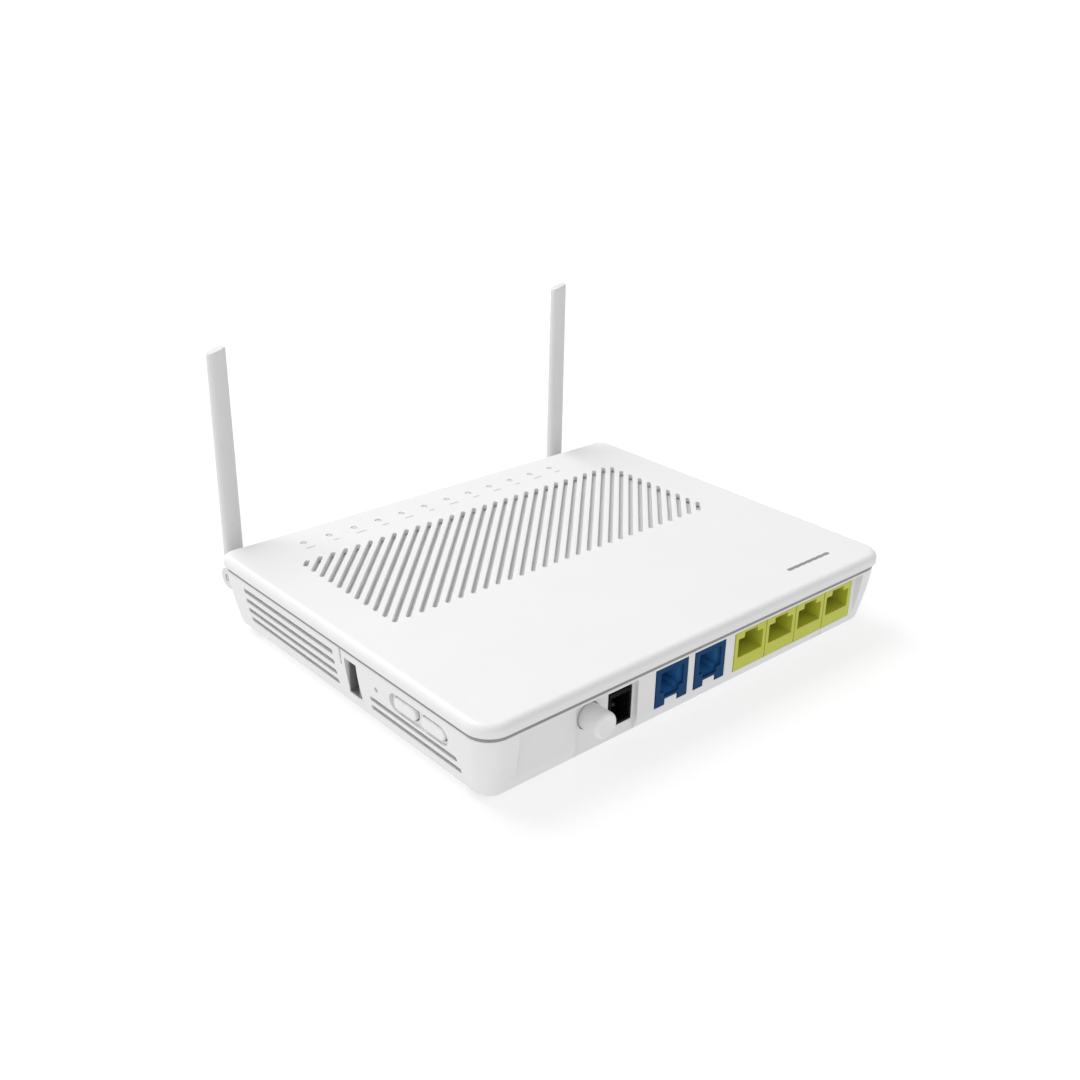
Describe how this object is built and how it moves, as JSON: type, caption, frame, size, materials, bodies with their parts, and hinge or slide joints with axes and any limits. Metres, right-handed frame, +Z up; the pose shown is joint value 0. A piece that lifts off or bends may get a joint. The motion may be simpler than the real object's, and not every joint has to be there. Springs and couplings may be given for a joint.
{
  "type": "optical network terminal",
  "caption": "Flat white home fibre terminal with a vented top, a row of network, phone and power sockets, side push buttons and two hinged rear antennas.",
  "frame": {"origin": "on the surface it stands on, below the middle of the whole object's outline", "axes": "+X along the socket side, from the power button to the last network socket; +Y from the socket side to the antennas; +Z up"},
  "size_m": [0.176, 0.1536, 0.0944],
  "materials": {
    "white_case": "fine satin moulded white",
    "clear_lens": "clear moulded light guide",
    "antenna_white": "satin moulded white",
    "button_white": "smooth white",
    "yellow_jack": "moulded yellow",
    "blue_jack": "moulded blue",
    "gold_contact": "gold plated",
    "black_plastic": "moulded black",
    "chip_epoxy": "moulded epoxy",
    "ferrite": "sintered dull grey",
    "capacitor_sleeve": "shrink sleeve",
    "tinned_steel": "bright tin plate",
    "aluminium": "extruded",
    "green_adapter": "moulded green",
    "ferrule_ceramic": "polished ceramic",
    "grey_rubber": "soft moulded",
    "board_laminate": "solder mask",
    "label_paper": "printed film, left blank"
  },
  "bodies": {
    "housing": {"top_cover": "white_case", "base_tray": "white_case", "vent_screen": "white_case", "light_pipe": "clear_lens", "antenna_bush_left": "antenna_white", "antenna_bush_right": "antenna_white", "lan_jack_block": "yellow_jack", "phone_jack_1": "blue_jack", "phone_jack_2": "blue_jack", "lan_contacts_1": "gold_contact", "lan_contacts_2": "gold_contact", "lan_contacts_3": "gold_contact", "lan_contacts_4": "gold_contact", "phone_contacts_1": "gold_contact", "phone_contacts_2": "gold_contact", "power_socket": "black_plastic", "power_switch": "black_plastic", "usb_tongue": "black_plastic", "wlan_switch": "black_plastic", "wps_switch": "black_plastic", "reset_switch": "black_plastic", "main_processor": "chip_epoxy", "memory_chip": "chip_epoxy", "lan_transformer_1": "chip_epoxy", "lan_transformer_2": "chip_epoxy", "power_inductor": "ferrite", "smoothing_capacitor_1": "capacitor_sleeve", "smoothing_capacitor_2": "capacitor_sleeve", "usb_shell": "tinned_steel", "power_pins": "tinned_steel", "wireless_shield": "tinned_steel", "optical_module": "tinned_steel", "case_screw_1": "tinned_steel", "case_screw_2": "tinned_steel", "case_screw_3": "tinned_steel", "case_screw_4": "tinned_steel", "board_screw_1": "tinned_steel", "board_screw_2": "tinned_steel", "board_screw_3": "tinned_steel", "board_screw_4": "tinned_steel", "heat_sink": "aluminium", "fibre_adapter": "green_adapter", "fibre_ferrule": "ferrule_ceramic", "foot_1": "grey_rubber", "foot_2": "grey_rubber", "foot_3": "grey_rubber", "foot_4": "grey_rubber", "circuit_board": "board_laminate", "rating_label": "label_paper"},
    "power_button": {"power_button": "button_white"},
    "wlan_button": {"wlan_button": "button_white"},
    "wps_button": {"wps_button": "button_white"},
    "reset_button": {"reset_button": "button_white"},
    "dust_plug": {"dust_plug": "grey_rubber"},
    "swivel_left": {"antenna_swivel_left": "antenna_white", "antenna_pin_left": "tinned_steel"},
    "blade_left": {"antenna_blade_left": "antenna_white"},
    "swivel_right": {"antenna_swivel_right": "antenna_white", "antenna_pin_right": "tinned_steel"},
    "blade_right": {"antenna_blade_right": "antenna_white"}
  },
  "joints": [
    {"name": "power_press", "type": "slide", "parent": "housing", "child": "power_button", "axis": [0, 1, 0], "range_m": [0, 0.002], "stiffness_N_per_m": 300, "springref_m": -0.001},
    {"name": "wlan_press", "type": "slide", "parent": "housing", "child": "wlan_button", "axis": [1, 0, 0], "range_m": [0, 0.0006], "stiffness_N_per_m": 600, "springref_m": -0.0004},
    {"name": "wps_press", "type": "slide", "parent": "housing", "child": "wps_button", "axis": [1, 0, 0], "range_m": [0, 0.0006], "stiffness_N_per_m": 600, "springref_m": -0.0004},
    {"name": "reset_press", "type": "slide", "parent": "housing", "child": "reset_button", "axis": [1, 0, 0], "range_m": [0, 0.0006], "stiffness_N_per_m": 300, "springref_m": -0.0004},
    {"name": "dust_plug_pull", "type": "slide", "parent": "housing", "child": "dust_plug", "axis": [1, 0, 0], "range_m": [0, 0.02]},
    {"name": "antenna_left_swivel", "type": "hinge", "parent": "housing", "child": "swivel_left", "pos_m": [-0.0787, 0.07325, 0.014], "axis": [0, 1, 0], "range_deg": [-90, 90]},
    {"name": "antenna_left_tilt", "type": "hinge", "parent": "swivel_left", "child": "blade_left", "pos_m": [-0.0787, 0.07325, 0.014], "axis": [-1, 0, 0], "range_deg": [0, 90]},
    {"name": "antenna_right_swivel", "type": "hinge", "parent": "housing", "child": "swivel_right", "pos_m": [0.068, 0.07325, 0.014], "axis": [0, 1, 0], "range_deg": [-90, 90]},
    {"name": "antenna_right_tilt", "type": "hinge", "parent": "swivel_right", "child": "blade_right", "pos_m": [0.068, 0.07325, 0.014], "axis": [-1, 0, 0], "range_deg": [0, 90]}
  ]
}
